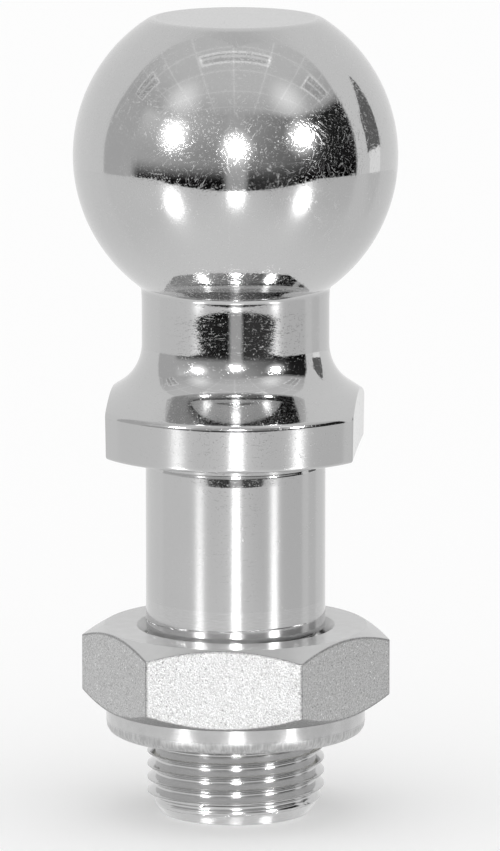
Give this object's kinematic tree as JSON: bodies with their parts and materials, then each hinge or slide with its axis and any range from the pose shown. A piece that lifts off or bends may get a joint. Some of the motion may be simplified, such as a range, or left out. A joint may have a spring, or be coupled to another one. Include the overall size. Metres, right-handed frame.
{
  "type": "threaded tow ball",
  "caption": "Hitch ball with a flat top on a waisted neck, a collar with two wrench flats and a threaded shank carrying a hexagonal lock nut with a rolled rim.",
  "frame": {"origin": "on the stud's axis at the underside of the collar, the face that seats on the hitch", "axes": "+Z along the stud's axis, from the thread towards the ball; the wrench flats face +X and -X, turned 4.8 degrees about Z, clockwise from above"},
  "size_m": [0.0508, 0.0508, 0.1261],
  "materials": {
    "chromed_steel": "polished",
    "zinc_plated_steel": "satin",
    "nylon": "matte"
  },
  "bodies": {
    "stud": {"ball_stud": "chromed_steel"},
    "insert": {"nylon_insert": "nylon"},
    "nut": {"lock_nut": "zinc_plated_steel"}
  },
  "joints": [
    {"name": "nut_travel", "type": "slide", "parent": "stud", "child": "insert", "axis": [0, 0, -1], "range_m": [0, 0.0339]},
    {"name": "nut_spin", "type": "hinge", "parent": "insert", "child": "nut", "pos_m": [0, 0, -0.0346], "axis": [0, 0, -1], "range_deg": [0, 5760]}
  ],
  "couplings": [
    {"joint": "nut_travel", "follows": "nut_spin", "m_per_rad": 0.00033688}
  ]
}
